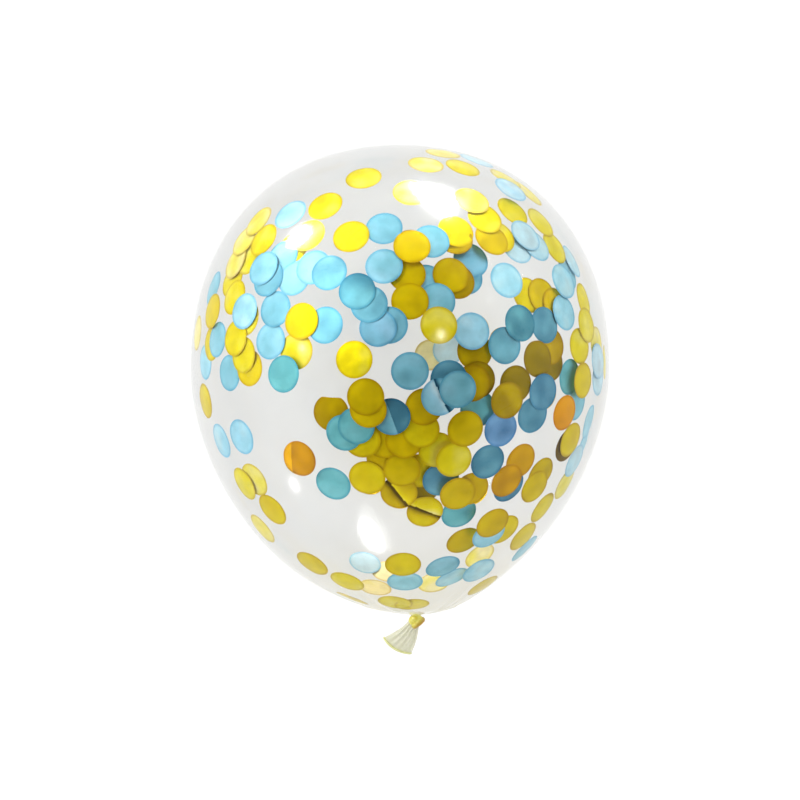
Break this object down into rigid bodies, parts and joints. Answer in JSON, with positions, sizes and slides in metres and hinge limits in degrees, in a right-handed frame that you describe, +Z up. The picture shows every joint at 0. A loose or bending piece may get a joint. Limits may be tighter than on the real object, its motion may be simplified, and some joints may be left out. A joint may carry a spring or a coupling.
{
  "type": "confetti balloon",
  "caption": "Clear round latex party balloon, tied off at the neck, with loose foil confetti discs inside, lying on its side on a small flat spot.",
  "frame": {"origin": "middle of the underside of the bounding box, in the plane of the flat spot that the balloon rests on", "axes": "+Z up, +Y along the long axis from the knot towards the crown, +X to the right as the picture shows the balloon with its crown up"},
  "size_m": [0.305, 0.3714, 0.3024],
  "materials": {
    "clear_latex": "clear, faintly cream, glossy, see-through",
    "gold_foil": "satin metallic foil disc",
    "blue_foil": "satin metallic foil disc"
  },
  "bodies": {
    "root": {"latex_balloon": "clear_latex"}
  },
  "joints": []
}
